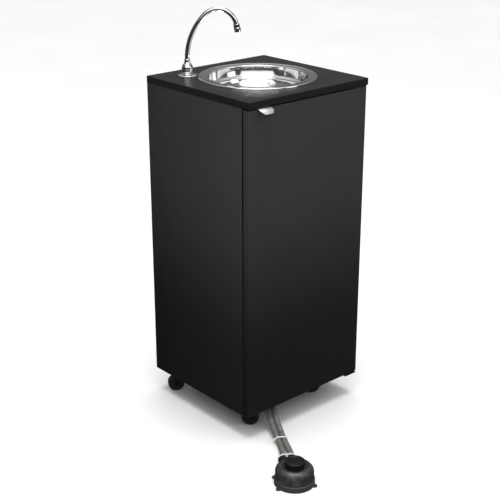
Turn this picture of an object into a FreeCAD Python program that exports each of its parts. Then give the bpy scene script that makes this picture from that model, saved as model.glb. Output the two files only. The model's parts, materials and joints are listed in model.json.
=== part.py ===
"""Portable handwash sink: a laminate cabinet on casters with a drop-in bowl, a swivelling
gooseneck spout, two water tanks behind a pivot-hung door, and a foot pump on two hoses.

Millimetres, +Z up. The floor is z = 0. The origin is the middle of the footprint that the
cabinet and the foot pump cover together. The door faces -Y."""

import FreeCAD, Part
import math
import os

V = FreeCAD.Vector
UP = V(0, 0, 1)

# Footprint of cabinet and pump together
FOOTPRINT_W = 506.0
FOOTPRINT_D = 661.0

# Cabinet
WORKTOP_W = 406.0
WORKTOP_D = 394.0
WORKTOP_T = 18.0
WORKTOP_EDGE_R = 2.0
CABINET_H = 832.0
CASTER_H = 64.0
BOARD = 16.0
BACK_BOARD = 9.0
OVERHANG_LEFT = 1.0
OVERHANG_RIGHT = 5.0
OVERHANG_BACK = 1.0
RAIL_H = 60.0

# Door and its pivots
DOOR_T = 18.0
DOOR_SETBACK = 2.0
DOOR_GAP_BACK = 5.5
DOOR_GAP_TOP = 3.0
DOOR_GAP_BOTTOM = 4.0
DOOR_EDGE_R = 1.0
PIVOT_EDGE_R = 2.0
PIVOT_FROM_SIDE = 6.0
PIVOT_FROM_FRONT = 8.0
PIN_R = 2.5
RUNNING_GAP = 0.05
BUSH_R = 4.0
BUSH_DEPTH = 18.0

# Finger pull on the door's top edge
PULL_W = 40.0
PULL_FROM_LEFT = 27.0
PULL_REACH = 22.0
PULL_DROP = 9.5
PULL_CORNER_R = 14.0
PULL_T = 1.5

# Bowl, measured from its centre and from the worktop's top face
BOWL_FROM_LEFT = 209.0
BOWL_FROM_FRONT = 201.0
BOWL_RIM_R = 152.5
BOWL_CUTOUT_R = 134.0
BOWL_DEPTH = 96.0
DRAIN_R = 22.0
STRAINER_BORE_R = 18.0
STRAINER_TUBE_R = 20.5

# Faucet, on the worktop's left back corner
FAUCET_FROM_LEFT = 82.0
FAUCET_FROM_FRONT = 328.0
SPOUT_HEADING = -45.0
SPOUT_R = 6.0
SPOUT_RISE = 41.5
SPOUT_LOWER_BEND_R = 160.0
SPOUT_LOWER_TURN = 44.9
SPOUT_UPPER_BEND_R = 46.5
SPOUT_END_ANGLE = 13.0
SPOUT_END_RUN = 9.5
SHANK_R = 10.0
SHANK_DEPTH = 45.0

# Tanks
TANK_W = 172.0
TANK_D = 250.0
TANK_H = 395.0
TANK_WALL = 2.0
TANK_EDGE_R = 18.0
TANK_FRONT = 126.0
TANK_GAP = 6.0
NECK_R = 22.0
NECK_H = 22.0
NECK_INBOARD = 40.0
NECK_FORWARD = 55.0
CAP_R = 29.0

# Hoses outside the cabinet, and the lines inside it
HOSE_R = 7.5
LINE_R = 6.5
WASTE_HOSE_R = 14.0

# Foot pump. Its heading is the direction in which its hoses leave it.
PUMP_HEADING = 58.0
PUMP_BASE_R = 50.0
PUMP_BASE_H = 15.5
PUMP_DOME_R = 47.5
PUMP_CAP_R = 25.0
PUMP_SKIRT_Z = 12.0
PUMP_DOME_TOP = 44.5
PUMP_CAP_H = 17.0
PUMP_CAP_GAP = 0.3
PUMP_LUG_PITCH_R = 52.5
PUMP_LUG_END_R = 5.5
PUMP_LUG_HOLE_R = 2.25
PUMP_LUG_T = 4.0
PUMP_LUG_ANGLES = (60.0, 120.0, -120.0, -60.0)
PORT_SPACING = 24.0
PORT_R = 11.0
PORT_END = 88.0
PORT_SEAT = 76.0
PORT_HEIGHT = 11.5

# Elbow fittings under the cabinet, placed along and across the pump's heading
ELBOW_ALONG = 352.0
ELBOW_ACROSS = 9.0
ELBOW_SPACING = 24.0
ELBOW_REACH = 28.0
ELBOW_HEIGHT = 42.0
INNER_BARB_TOP = 108.0

# Route of the hose pair from the pump to the elbows:
# (along the pump's heading, across it, height, distance between the two hoses)
HOSE_ROUTE = [
    (PORT_SEAT, 0.0, PORT_HEIGHT, PORT_SPACING),
    (90.0, -1.2, 11.2, 23.9),
    (104.0, -3.2, 10.2, 22.6),
    (128.0, -5.2, 8.4, 19.2),
    (152.0, -5.0, 8.1, 16.6),
    (172.0, -3.8, 8.6, 15.6),
    (196.0, -2.2, 10.9, 15.4),
    (220.0, -0.4, 15.8, 15.4),
    (244.0, 1.8, 23.5, 15.5),
    (270.0, 5.0, 33.0, 16.4),
    (298.0, 8.0, 40.5, 19.6),
    (ELBOW_ALONG - ELBOW_REACH, ELBOW_ACROSS, ELBOW_HEIGHT, ELBOW_SPACING),
]
TIE_RUNS = (1, 5)
TIE_WIDTH = 4.6
TIE_T = 1.3

# Casters: where each swivel stands and which way its wheel trails, in degrees
CASTER_FROM_LEFT = 50.0
CASTER_FROM_RIGHT = 77.0
CASTER_FROM_FRONT = 78.0
CASTER_FROM_BACK = 55.0
CASTER_TRAIL = 18.0
WHEEL_R = 23.5
WHEEL_W = 18.0
AXLE_R = 3.0
KINGPIN_R = 4.0
CASTER_HEADINGS = {"front_left": -42.0, "front_right": 160.0, "rear_left": 150.0, "rear_right": 205.0}

# Places worked out from the sizes above
LEFT = FOOTPRINT_W / 2 - WORKTOP_W
RIGHT = FOOTPRINT_W / 2
FRONT = FOOTPRINT_D / 2 - WORKTOP_D
BACK = FOOTPRINT_D / 2
BASE_Z = CASTER_H
TOP_Z = CASTER_H + CABINET_H
UNDER_TOP = TOP_Z - WORKTOP_T
BODY_LEFT = LEFT + OVERHANG_LEFT
BODY_RIGHT = RIGHT - OVERHANG_RIGHT
BODY_BACK = BACK - OVERHANG_BACK
DOOR_FRONT = FRONT + DOOR_SETBACK
DOOR_BACK = DOOR_FRONT + DOOR_T
BODY_FRONT = DOOR_BACK + DOOR_GAP_BACK
DOOR_TOP = UNDER_TOP - DOOR_GAP_TOP
DOOR_BOTTOM = BASE_Z + DOOR_GAP_BOTTOM
INNER_LEFT = BODY_LEFT + BOARD
INNER_RIGHT = BODY_RIGHT - BOARD
INNER_BACK = BODY_BACK - BACK_BOARD
FLOOR_Z = BASE_Z + BOARD
PIVOT_X = BODY_RIGHT - PIVOT_FROM_SIDE
PIVOT_Y = DOOR_FRONT + PIVOT_FROM_FRONT
BOWL_X = LEFT + BOWL_FROM_LEFT
BOWL_Y = FRONT + BOWL_FROM_FRONT
FAUCET_X = LEFT + FAUCET_FROM_LEFT
FAUCET_Y = FRONT + FAUCET_FROM_FRONT
TANK_Y0 = FRONT + TANK_FRONT
TANK_TOP = FLOOR_Z + TANK_H
CAP_TOP = TANK_TOP + NECK_H + 15.0
FRESH_X = INNER_LEFT + TANK_GAP + TANK_W / 2
WASTE_X = INNER_RIGHT - TANK_GAP - TANK_W / 2
NECK_Y = TANK_Y0 + TANK_D / 2 - NECK_FORWARD
FRESH_NECK_X = FRESH_X + NECK_INBOARD
WASTE_NECK_X = WASTE_X - NECK_INBOARD
TAIL_BOTTOM = TOP_Z - BOWL_DEPTH - 76.0


def turned(angle):
    """Unit vector at an angle in degrees from +X in the floor plane."""
    return V(math.cos(math.radians(angle)), math.sin(math.radians(angle)), 0)


PUMP_X = -FOOTPRINT_W / 2 + PUMP_LUG_END_R - min(
    PUMP_LUG_PITCH_R * turned(PUMP_HEADING + a).x for a in PUMP_LUG_ANGLES
)
PUMP_Y = -FOOTPRINT_D / 2 + PUMP_LUG_END_R - min(
    PUMP_LUG_PITCH_R * turned(PUMP_HEADING + a).y for a in PUMP_LUG_ANGLES
)
ALONG = turned(PUMP_HEADING)
ACROSS = turned(PUMP_HEADING + 90)


# Geometry helpers


def block(x0, x1, y0, y1, z0, z1):
    return Part.makeBox(x1 - x0, y1 - y0, z1 - z0, V(x0, y0, z0))


def cylinder(radius, x, y, z0, z1):
    return Part.makeCylinder(radius, z1 - z0, V(x, y, z0))


def ring(outer, inner, x, y, z0, z1):
    return cylinder(outer, x, y, z0, z1).cut(cylinder(inner, x, y, z0 - 1, z1 + 1))


def rod(radius, start, end):
    return Part.makeCylinder(radius, (end - start).Length, start, end - start)


def hexagon(flats, x, y, z0, z1, turn=0.0):
    corner = flats / math.sqrt(3)
    points = [V(x, y, z0) + turned(turn + 60 * i) * corner for i in range(7)]
    return Part.Face(Part.makePolygon(points)).extrude(UP * (z1 - z0))


def upright_edges(shape):
    return [e for e in shape.Edges if abs(e.Vertexes[0].Z - e.Vertexes[-1].Z) > 1.0]


def edges_at_height(shape, height):
    return [e for e in shape.Edges if all(abs(v.Z - height) < 0.01 for v in e.Vertexes)]


def joined(shapes):
    solid = shapes[0].fuse(shapes[1:]) if len(shapes) > 1 else shapes[0]
    return solid.removeSplitter()


def path_edges(start, steps, place):
    """Edges from start through each step: a point for a line, or a pair (through, end) for an arc.
    A step that is already reached adds nothing, so an outline may close with an arc or a line."""
    edges = []
    at = start
    for step in steps:
        if step == at:
            continue
        if isinstance(step[0], tuple):
            through, end = step
            edges.append(Part.Arc(place(at), place(through), place(end)).toShape())
            at = end
        else:
            edges.append(Part.makeLine(place(at), place(step)))
            at = step
    return edges


def turned_solid(x, y, z, start, *steps):
    """Solid of revolution about the upright axis at x, y. The outline is (radius, height above z)."""
    outline = path_edges(start, steps + (start,), lambda p: V(x + p[0], y, z + p[1]))
    return Part.Face(Part.Wire(outline)).revolve(V(x, y, z), UP, 360)


def rounded_path(points):
    """Straight runs joined by tangent arcs, and the arcs' radii."""
    edges = []
    radii = []
    at = points[0]
    for before, corner, after in zip(points, points[1:], points[2:]):
        arriving = corner - before
        leaving = after - corner
        cut = 0.45 * min(arriving.Length, leaving.Length)
        turn = arriving.getAngle(leaving)
        radius = cut / math.tan(turn / 2)
        arriving.normalize()
        leaving.normalize()
        first = corner - arriving * cut
        last = corner + leaving * cut
        inward = (leaving - arriving).normalize()
        middle = corner + inward * (radius / math.cos(turn / 2) - radius)
        edges.append(Part.LineSegment(at, first).toShape())
        edges.append(Part.Arc(first, middle, last).toShape())
        radii.append(radius)
        at = last
    edges.append(Part.LineSegment(at, points[-1]).toShape())
    return Part.Wire(edges), radii


def hose(name, points, radius):
    """Plain round hose along a route; prints its length, bends and volume check."""
    path, radii = rounded_path(points)
    tangent = points[1] - points[0]
    section = Part.Wire(Part.Circle(points[0], tangent, radius).toShape())
    solid = path.makePipeShell([section], True, False)
    expected = math.pi * radius**2 * path.Length
    bends = " ".join(f"{r:.0f}" for r in radii)
    print(f"{name}: length {path.Length:.1f}, bend radii {bends}, volume ratio {solid.Volume / expected:.4f}")
    return solid


def screw(x, y, z_head, z_tip, shank_r=1.9, head_r=3.8, head_h=1.8):
    """Upright screw: the head lies between z_head and the side away from the tip."""
    away = math.copysign(1.0, z_head - z_tip)
    shank = rod(shank_r, V(x, y, z_head), V(x, y, z_tip))
    head = Part.makeCone(head_r, head_r * 0.7, head_h, V(x, y, z_head), V(0, 0, away))
    slot = block(x - head_r, x + head_r, y - 0.4, y + 0.4, -0.9, 0.9)
    slot.translate(V(0, 0, z_head + away * head_h))
    return joined([shank, head]).cut(slot)


# Cabinet


def caster_centres():
    xs = {"left": LEFT + CASTER_FROM_LEFT, "right": RIGHT - CASTER_FROM_RIGHT}
    ys = {"front": FRONT + CASTER_FROM_FRONT, "rear": BACK - CASTER_FROM_BACK}
    return {f"{row}_{side}": (xs[side], ys[row]) for row in ys for side in xs}


def caster_screw_places():
    return [
        (x + 24 * sx, y + 18 * sy)
        for x, y in caster_centres().values()
        for sx in (-1, 1)
        for sy in (-1, 1)
    ]


def hinge_screw_places():
    return [(PIVOT_X - 28, PIVOT_Y + 34), (PIVOT_X - 17, PIVOT_Y + 34)]


def top_hinge_screw_places():
    return [(PIVOT_X - 34, PIVOT_Y), (PIVOT_X - 16, PIVOT_Y)]


def rail_screw_places():
    rail_middles = (BODY_FRONT + BOARD / 2, INNER_BACK - BOARD / 2)
    return [(x, y) for x in (INNER_LEFT + 60, INNER_RIGHT - 60) for y in rail_middles]


def elbow_centres():
    middle = V(PUMP_X, PUMP_Y, 0) + ALONG * ELBOW_ALONG + ACROSS * ELBOW_ACROSS
    return [middle + ACROSS * (side * ELBOW_SPACING / 2) for side in (1, -1)]


def side_panel(x0):
    return block(x0, x0 + BOARD, BODY_FRONT, BODY_BACK, BASE_Z, UNDER_TOP)


def back_panel():
    return block(INNER_LEFT, INNER_RIGHT, INNER_BACK, BODY_BACK, BASE_Z, UNDER_TOP)


def bottom_panel():
    panel = block(INNER_LEFT, INNER_RIGHT, BODY_FRONT, INNER_BACK, BASE_Z, FLOOR_Z)
    for x, y in caster_screw_places() + hinge_screw_places():
        panel = panel.cut(cylinder(1.9, x, y, BASE_Z - 1, BASE_Z + 12))
    for centre in elbow_centres():
        panel = panel.cut(cylinder(7.2, centre.x, centre.y, BASE_Z - 1, FLOOR_Z + 1))
    return panel


def top_rails():
    low = UNDER_TOP - RAIL_H
    rails = []
    for y in (BODY_FRONT, INNER_BACK - BOARD):
        rail = block(INNER_LEFT, INNER_RIGHT, y, y + BOARD, low, UNDER_TOP)
        for sx, sy in rail_screw_places():
            rail = rail.cut(cylinder(1.9, sx, sy, low - 1, UNDER_TOP + 1))
            rail = rail.cut(cylinder(4.2, sx, sy, low - 1, UNDER_TOP - 14))
        rails.append(rail)
    return Part.makeCompound(rails)


def worktop():
    slab = block(LEFT, RIGHT, FRONT, BACK, UNDER_TOP, TOP_Z)
    slab = slab.makeFillet(3.0, upright_edges(slab))
    rims = edges_at_height(slab, TOP_Z) + edges_at_height(slab, UNDER_TOP)
    slab = slab.makeFillet(WORKTOP_EDGE_R, rims)
    slab = slab.cut(cylinder(BOWL_CUTOUT_R, BOWL_X, BOWL_Y, UNDER_TOP - 1, TOP_Z + 1))
    slab = slab.cut(cylinder(SHANK_R + 1, FAUCET_X, FAUCET_Y, UNDER_TOP - 1, TOP_Z + 1))
    for x, y in rail_screw_places() + top_hinge_screw_places():
        slab = slab.cut(cylinder(1.9, x, y, UNDER_TOP - 1, UNDER_TOP + 12))
    return slab


def wood_screws():
    """Screws of the casters, the lower pivot plate, the rails and the upper pivot plate."""
    from_below = caster_screw_places() + hinge_screw_places()
    screws = [screw(x, y, BASE_Z - 2, BASE_Z + 12) for x, y in from_below]
    screws += [screw(x, y, UNDER_TOP - 14, UNDER_TOP + 12) for x, y in rail_screw_places()]
    for x, y in top_hinge_screw_places():
        screws.append(screw(x, y, UNDER_TOP - 2, UNDER_TOP + 12, head_r=3.4, head_h=0.7))
    return Part.makeCompound(screws)


# Bowl and drain


def sink_bowl():
    """Thin pressed bowl: flat rim, short steep wall, a step, then a rounded dish."""
    deep = -BOWL_DEPTH
    return turned_solid(
        BOWL_X, BOWL_Y, TOP_Z,
        (129.5, 1.6),
        (149.0, 2.4),
        ((151.6, 2.0), (BOWL_RIM_R, 0.2)),
        (BOWL_RIM_R - 1.0, 0.1),
        ((150.8, 1.1), (149.0, 1.4)),
        (130.0, 0.6),
        ((128.4, -0.1), (127.7, -1.6)),
        (124.6, -22.4),
        ((122.6, -25.4), (118.0, -26.6)),
        ((115.0, -28.4), (113.6, -33.0)),
        ((85.0, -68.7), (50.0, deep + 5.4)),
        (36.0, deep + 2.4),
        (33.2, deep - 1.0),
        (DRAIN_R, deep - 1.0),
        (DRAIN_R, deep),
        (34.0, deep),
        (36.6, deep + 3.5),
        (50.0, deep + 6.4),
        ((84.3, -67.9), (112.6, -33.0)),
        ((114.1, -27.9), (117.8, -25.6)),
        ((121.9, -24.7), (123.6, -22.4)),
        (126.7, -1.6),
        ((127.6, 0.7), (129.5, 1.6)),
    )


def bowl_seal():
    return ring(149.0, 137.0, BOWL_X, BOWL_Y, TOP_Z, TOP_Z + 0.8)


def bowl_clips():
    """Four spring clips that bear on the worktop's underside and grip the bowl's wall."""
    clips = []
    for angle in (45, 135, 225, 315):
        arm = block(127.2, 154, -8, 8, UNDER_TOP - 2.5, UNDER_TOP)
        tab = block(127.2, 129.7, -8, 8, UNDER_TOP - 2.5, UNDER_TOP + 9)
        foot = block(151.5, 154, -8, 8, UNDER_TOP - 10, UNDER_TOP)
        clip = joined([arm, tab, foot])
        clip.rotate(V(0, 0, 0), UP, angle)
        clip.translate(V(BOWL_X, BOWL_Y, 0))
        clips.append(clip)
    return Part.makeCompound(clips)


def drain_strainer():
    deep = TOP_Z - BOWL_DEPTH
    bore = STRAINER_BORE_R
    tube = turned_solid(
        BOWL_X, BOWL_Y, deep,
        (bore, 0.6),
        (30.0, 1.6),
        (31.5, 0.6),
        (31.5, 0.0),
        (STRAINER_TUBE_R, 0.0),
        (STRAINER_TUBE_R, -46.0),
        (bore, -46.0),
    )
    grid = cylinder(bore + 0.5, BOWL_X, BOWL_Y, deep - 5.0, deep - 3.5)
    holes = [cylinder(2.4, BOWL_X, BOWL_Y, deep - 6, deep - 2)]
    for radius, count in ((6.8, 6), (13.2, 12)):
        for i in range(count):
            spot = turned(360.0 * i / count) * radius
            holes.append(cylinder(2.2, BOWL_X + spot.x, BOWL_Y + spot.y, deep - 6, deep - 2))
    return joined([tube, grid]).cut(holes)


def drain_gasket():
    deep = TOP_Z - BOWL_DEPTH - 1.0
    return ring(30.0, STRAINER_TUBE_R + 0.4, BOWL_X, BOWL_Y, deep - 3.0, deep)


def drain_nut():
    high = TOP_Z - BOWL_DEPTH - 4.0
    nut = cylinder(29.0, BOWL_X, BOWL_Y, high - 9.0, high)
    nut = nut.cut(cylinder(STRAINER_TUBE_R + 0.1, BOWL_X, BOWL_Y, high - 10.0, high + 1.0))
    for i in range(8):
        spot = turned(45.0 * i) * 31.0
        nut = nut.cut(cylinder(4.0, BOWL_X + spot.x, BOWL_Y + spot.y, high - 10.0, high + 1.0))
    return nut


def drain_tail():
    """Threaded cup on the strainer's tube, narrowing to the waste hose's barb."""
    bottom = TAIL_BOTTOM
    inside = STRAINER_TUBE_R + 0.1
    return turned_solid(
        BOWL_X, BOWL_Y, bottom,
        (inside, 48.0),
        (25.0, 48.0),
        (25.0, 26.0),
        (14.0, 20.0),
        (11.5, 20.0),
        (12.0, 10.0),
        (11.0, 0.0),
        (8.5, 0.0),
        (8.5, 24.0),
        (inside, 29.0),
    )


def waste_hose():
    points = [
        V(BOWL_X, BOWL_Y, TAIL_BOTTOM),
        V(BOWL_X, BOWL_Y, TAIL_BOTTOM - 34),
        V(BOWL_X + 20, (BOWL_Y + NECK_Y) / 2, TAIL_BOTTOM - 66),
        V(WASTE_NECK_X, NECK_Y, CAP_TOP + 34),
        V(WASTE_NECK_X, NECK_Y, CAP_TOP),
    ]
    return hose("waste_hose", points, WASTE_HOSE_R)


# Faucet


def faucet_flange():
    return turned_solid(
        FAUCET_X, FAUCET_Y, TOP_Z,
        (SHANK_R + 0.1, 0.0),
        (25.0, 0.0),
        ((25.8, 0.9), (25.6, 1.8)),
        ((21.0, 3.2), (17.0, 3.4)),
        (13.5, 5.0),
        (SHANK_R + 0.1, 5.0),
    )


def faucet_body():
    """Bulb above the flange, with the threaded shank that passes through the worktop."""
    bore = SPOUT_R + RUNNING_GAP
    return turned_solid(
        FAUCET_X, FAUCET_Y, TOP_Z,
        (bore, 10.0),
        (bore, 31.0),
        (8.4, 31.0),
        ((12.4, 26.0), (14.2, 17.0)),
        ((14.6, 14.5), (14.2, 12.0)),
        (12.4, 5.0),
        (SHANK_R, 5.0),
        (SHANK_R, -SHANK_DEPTH),
        (4.0, -SHANK_DEPTH),
        (4.0, 10.0),
    )


def faucet_nut():
    nut = hexagon(30.0, FAUCET_X, FAUCET_Y, UNDER_TOP - 9, UNDER_TOP - 2)
    washer = cylinder(18.0, FAUCET_X, FAUCET_Y, UNDER_TOP - 2, UNDER_TOP)
    bore = cylinder(SHANK_R + 0.1, FAUCET_X, FAUCET_Y, UNDER_TOP - 10, UNDER_TOP + 1)
    return joined([nut, washer]).cut(bore)


def spout_plane(point):
    """Point of the spout's own upright plane: (distance out from its axis, height above the worktop)."""
    return V(FAUCET_X, FAUCET_Y, TOP_Z + point[1]) + turned(SPOUT_HEADING) * point[0]


def on_bend(centre, radius, angle):
    return (
        centre[0] + radius * math.cos(math.radians(angle)),
        centre[1] + radius * math.sin(math.radians(angle)),
    )


def spout_bends():
    """Centres of the two bends: a long lean towards the bowl, then the crook."""
    lower = (SPOUT_LOWER_BEND_R, SPOUT_RISE)
    change = on_bend(lower, SPOUT_LOWER_BEND_R, 180 - SPOUT_LOWER_TURN)
    upper = on_bend(change, SPOUT_UPPER_BEND_R, -SPOUT_LOWER_TURN)
    return lower, upper


def spout_ends():
    """Where the crook ends, and where the pipe ends after a short straight run."""
    crook_end = on_bend(spout_bends()[1], SPOUT_UPPER_BEND_R, SPOUT_END_ANGLE)
    return crook_end, on_bend(crook_end, SPOUT_END_RUN, SPOUT_END_ANGLE - 90)


def spout_tip():
    """End of the pipe and the direction in which it points."""
    crook_end, pipe_end = [spout_plane(p) for p in spout_ends()]
    return pipe_end, (pipe_end - crook_end).normalize()


def spout_path(low):
    lower, upper = spout_bends()
    half_turn = 180 - SPOUT_LOWER_TURN / 2
    change = 180 - SPOUT_LOWER_TURN
    middle = (change + SPOUT_END_ANGLE) / 2
    steps = (
        (0.0, SPOUT_RISE),
        (on_bend(lower, SPOUT_LOWER_BEND_R, half_turn), on_bend(lower, SPOUT_LOWER_BEND_R, change)),
        (on_bend(upper, SPOUT_UPPER_BEND_R, middle), spout_ends()[0]),
        spout_ends()[1],
    )
    return Part.Wire(path_edges((0.0, low), steps, spout_plane))


def spout_pipe():
    low = 12.0
    path = spout_path(low)
    outer = Part.Wire(Part.Circle(spout_plane((0.0, low)), UP, SPOUT_R).toShape())
    inner = Part.Wire(Part.Circle(spout_plane((0.0, low)), UP, SPOUT_R - 1.2).toShape())
    pipe = path.makePipeShell([outer], True, False)
    return pipe.cut(path.makePipeShell([inner], True, False))


def spout_collar():
    inside = SPOUT_R + 0.02
    return turned_solid(
        FAUCET_X, FAUCET_Y, TOP_Z,
        (inside, 31.3),
        (7.9, 31.3),
        (7.9, 34.0),
        (7.3, 34.6),
        (7.3, SPOUT_RISE - 2.0),
        (6.6, SPOUT_RISE),
        (inside, SPOUT_RISE),
    )


def aerator():
    """Sleeve on the pipe's end with a slotted face."""
    end, direction = spout_tip()
    body = rod(8.0, end - direction * 8.0, end + direction * 11.5)
    body = body.cut(rod(SPOUT_R + RUNNING_GAP, end - direction * 9.0, end))
    body = body.cut(rod(SPOUT_R - 1.2, end - direction * 1.0, end + direction * 4.0))
    body = body.cut(rod(5.8, end + direction * 3.0, end + direction * 12.0))
    grip = rod(8.6, end + direction * 1.0, end + direction * 6.0).cut(rod(7.5, end, end + direction * 7.0))
    mesh = rod(6.0, end + direction * 8.0, end + direction * 9.2)
    side = direction.cross(UP).normalize()
    for offset in (-3, 0, 3):
        spot = end + side * offset
        mesh = mesh.cut(rod(0.7, spot + direction * 7.0, spot + direction * 11.0))
    return joined([body, grip, mesh])


# Tanks


def tank(centre_x, neck_x):
    """Blow-moulded can with a neck at its front and a handle behind it."""
    x0 = centre_x - TANK_W / 2
    y0 = TANK_Y0

    def shell(inset, radius):
        width = TANK_W - 2 * inset
        depth = TANK_D - 2 * inset
        height = TANK_H - 2 * inset
        body = Part.makeBox(width, depth, height, V(x0 + inset, y0 + inset, FLOOR_Z + inset))
        return body.makeFillet(radius, body.Edges)

    neck = cylinder(NECK_R, neck_x, NECK_Y, TANK_TOP - 4, TANK_TOP + NECK_H)
    grip = block(centre_x - 11, centre_x + 11, y0 + 130, y0 + 236, TANK_TOP - 4, TANK_TOP + 35)
    grip = grip.makeFillet(6.0, [e for e in grip.Edges if all(v.Z > TANK_TOP + 30 for v in e.Vertexes)])
    grip = grip.cut(block(centre_x - 12, centre_x + 12, y0 + 146, y0 + 220, TANK_TOP + 0.01, TANK_TOP + 21))
    outside = joined([shell(0.0, TANK_EDGE_R), neck, grip])
    throat = cylinder(NECK_R - TANK_WALL, neck_x, NECK_Y, TANK_TOP - 6, TANK_TOP + NECK_H + 1)
    return outside.cut(shell(TANK_WALL, TANK_EDGE_R - TANK_WALL).fuse(throat))


def tank_cap(neck_x, hole_r):
    """Screw cap over the neck with grip ribs and a hole for its tube."""
    low = TANK_TOP + 3.0
    skirt = cylinder(CAP_R, neck_x, NECK_Y, low, CAP_TOP)
    skirt = skirt.makeFillet(2.5, edges_at_height(skirt, CAP_TOP))
    skirt = skirt.cut(cylinder(NECK_R + 0.3, neck_x, NECK_Y, low - 1, TANK_TOP + NECK_H + 0.2))
    skirt = skirt.cut(cylinder(hole_r, neck_x, NECK_Y, low, CAP_TOP + 1))
    for i in range(18):
        spot = turned(20.0 * i) * (CAP_R + 0.9)
        skirt = skirt.cut(cylinder(1.8, neck_x + spot.x, NECK_Y + spot.y, low - 1, CAP_TOP - 6))
    return skirt


def dip_tube():
    """Suction tube that hangs from the fresh tank's cap, with its barb above the cap."""
    x = FRESH_NECK_X
    pipe = ring(5.0, 3.5, x, NECK_Y, FLOOR_Z + 14, CAP_TOP + 20)
    collar = hexagon(18.0, x, NECK_Y, CAP_TOP, CAP_TOP + 6)
    collar = collar.cut(cylinder(4.9, x, NECK_Y, CAP_TOP - 1, CAP_TOP + 7))
    foot = ring(8.0, 3.5, x, NECK_Y, FLOOR_Z + 8, FLOOR_Z + 14)
    return joined([pipe, collar, foot])


# Hose fittings and hoses inside the cabinet


def hose_elbows():
    elbows = []
    for centre in elbow_centres():
        x, y = centre.x, centre.y
        middle = V(x, y, ELBOW_HEIGHT)
        pieces = [
            cylinder(7.0, x, y, ELBOW_HEIGHT, FLOOR_Z + 12),
            Part.makeSphere(7.0, middle),
            cylinder(11.0, x, y, BASE_Z - 3, BASE_Z),
            cylinder(4.6, x, y, FLOOR_Z + 12, INNER_BARB_TOP),
            Part.makeCone(5.4, 4.4, 5.0, V(x, y, INNER_BARB_TOP - 5)),
            rod(6.6, middle, middle - ALONG * 15.0),
            rod(4.6, middle, middle - ALONG * ELBOW_REACH),
            Part.makeCone(5.4, 4.4, 5.0, middle - ALONG * (ELBOW_REACH - 5.0), ALONG * -1),
        ]
        passage = [
            cylinder(3.0, x, y, ELBOW_HEIGHT, INNER_BARB_TOP + 1),
            rod(3.0, middle, middle - ALONG * (ELBOW_REACH + 1)),
        ]
        elbows.append(joined(pieces).cut(passage))
    return Part.makeCompound(elbows)


def elbow_nuts():
    nuts = []
    for centre in elbow_centres():
        nut = hexagon(19.0, centre.x, centre.y, FLOOR_Z, FLOOR_Z + 6, PUMP_HEADING)
        nuts.append(nut.cut(cylinder(7.05, centre.x, centre.y, FLOOR_Z - 1, FLOOR_Z + 7)))
    return Part.makeCompound(nuts)


def supply_line():
    """From the pressure elbow up behind the door, over the fresh tank and up to the faucet's shank."""
    start = elbow_centres()[0]
    points = [
        V(start.x, start.y, INNER_BARB_TOP),
        V(start.x - 1, start.y, 200),
        V(-42, 31, 300),
        V(-68, 26, 392),
        V(-90, 36, 480),
        V(-99, 76, 556),
        V(-96, 136, 606),
        V(-86, 196, 654),
        V(-76, 242, 714),
        V(FAUCET_X, FAUCET_Y, 780),
        V(FAUCET_X, FAUCET_Y, TOP_Z - SHANK_DEPTH),
    ]
    return hose("supply_line", points, LINE_R)


def suction_line():
    """From the suction elbow up behind the door and over into the fresh tank's cap."""
    start = elbow_centres()[1]
    points = [
        V(start.x, start.y, INNER_BARB_TOP),
        V(start.x, start.y + 1, 204),
        V(start.x + 3, start.y + 4, 310),
        V(start.x + 1, start.y, 412),
        V(start.x, start.y + 5, 500),
        V(FRESH_NECK_X, NECK_Y - 98, 560),
        V(FRESH_NECK_X, NECK_Y - 79, 586),
        V(FRESH_NECK_X, NECK_Y - 49, 597),
        V(FRESH_NECK_X, NECK_Y - 19, 587),
        V(FRESH_NECK_X, NECK_Y, 560),
        V(FRESH_NECK_X, NECK_Y, CAP_TOP + 20),
    ]
    return hose("suction_line", points, LINE_R)


def hose_clamps():
    """Band clamps where the hoses are pushed over their barbs, each with its tail lug."""
    places = [
        (BOWL_X, BOWL_Y, TAIL_BOTTOM - 12, WASTE_HOSE_R),
        (FAUCET_X, FAUCET_Y, TOP_Z - SHANK_DEPTH - 12, LINE_R),
        (FRESH_NECK_X, NECK_Y, CAP_TOP + 22, LINE_R),
    ]
    places += [(c.x, c.y, INNER_BARB_TOP + 3, LINE_R) for c in elbow_centres()]
    clamps = []
    for x, y, z, inside in places:
        band = ring(inside + 1.4, inside + 0.25, x, y, z, z + 7)
        lug = block(x - 3, x + 3, y - inside - 4.4, y - inside - 0.8, z + 1, z + 6)
        clamps.append(joined([band, lug]))
    return Part.makeCompound(clamps)


# Door


def door_panel():
    slab = block(BODY_LEFT, BODY_RIGHT, DOOR_FRONT, DOOR_BACK, DOOR_BOTTOM, DOOR_TOP)
    pivot_side = [
        e for e in upright_edges(slab) if e.Vertexes[0].X > BODY_RIGHT - 1 and e.Vertexes[0].Y > DOOR_BACK - 1
    ]
    slab = slab.makeFillet(PIVOT_EDGE_R, pivot_side)
    front_rim = [e for e in slab.Edges if all(abs(v.Y - DOOR_FRONT) < 0.01 for v in e.Vertexes)]
    slab = slab.makeFillet(DOOR_EDGE_R, front_rim)
    for z0, z1 in ((DOOR_BOTTOM - 1, DOOR_BOTTOM + BUSH_DEPTH), (DOOR_TOP - BUSH_DEPTH, DOOR_TOP + 1)):
        slab = slab.cut(cylinder(BUSH_R, PIVOT_X, PIVOT_Y, z0, z1))
    for x, y in pull_screw_places():
        slab = slab.cut(cylinder(1.5, x, y, DOOR_TOP - 14, DOOR_TOP + 1))
    return slab


def pull_screw_places():
    x0 = BODY_LEFT + PULL_FROM_LEFT
    return [(x0 + share * PULL_W, DOOR_FRONT + 9) for share in (0.25, 0.75)]


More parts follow.
